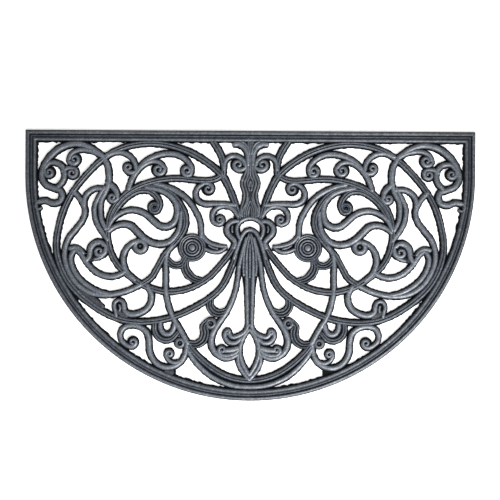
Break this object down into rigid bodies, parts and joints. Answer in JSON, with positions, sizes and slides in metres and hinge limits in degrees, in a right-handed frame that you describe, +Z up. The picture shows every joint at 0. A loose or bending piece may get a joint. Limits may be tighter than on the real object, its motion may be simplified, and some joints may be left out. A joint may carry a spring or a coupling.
{
  "type": "rubber doormat",
  "caption": "Half-round outdoor doormat of moulded black rubber: a flat frame filled with scrolled openwork that lets water and dirt through.",
  "frame": {"origin": "middle of the mat's box, on the plane that it lies on", "axes": "+Z up out of the mat; +X along the straight edge, which is its length; +Y from the round edge towards the straight edge"},
  "size_m": [0.75, 0.45, 0.009],
  "materials": {
    "black_rubber": "moulded rubber, satin, ridges rubbed a little paler"
  },
  "bodies": {
    "root": {"scroll_mat": "black_rubber"}
  },
  "joints": []
}
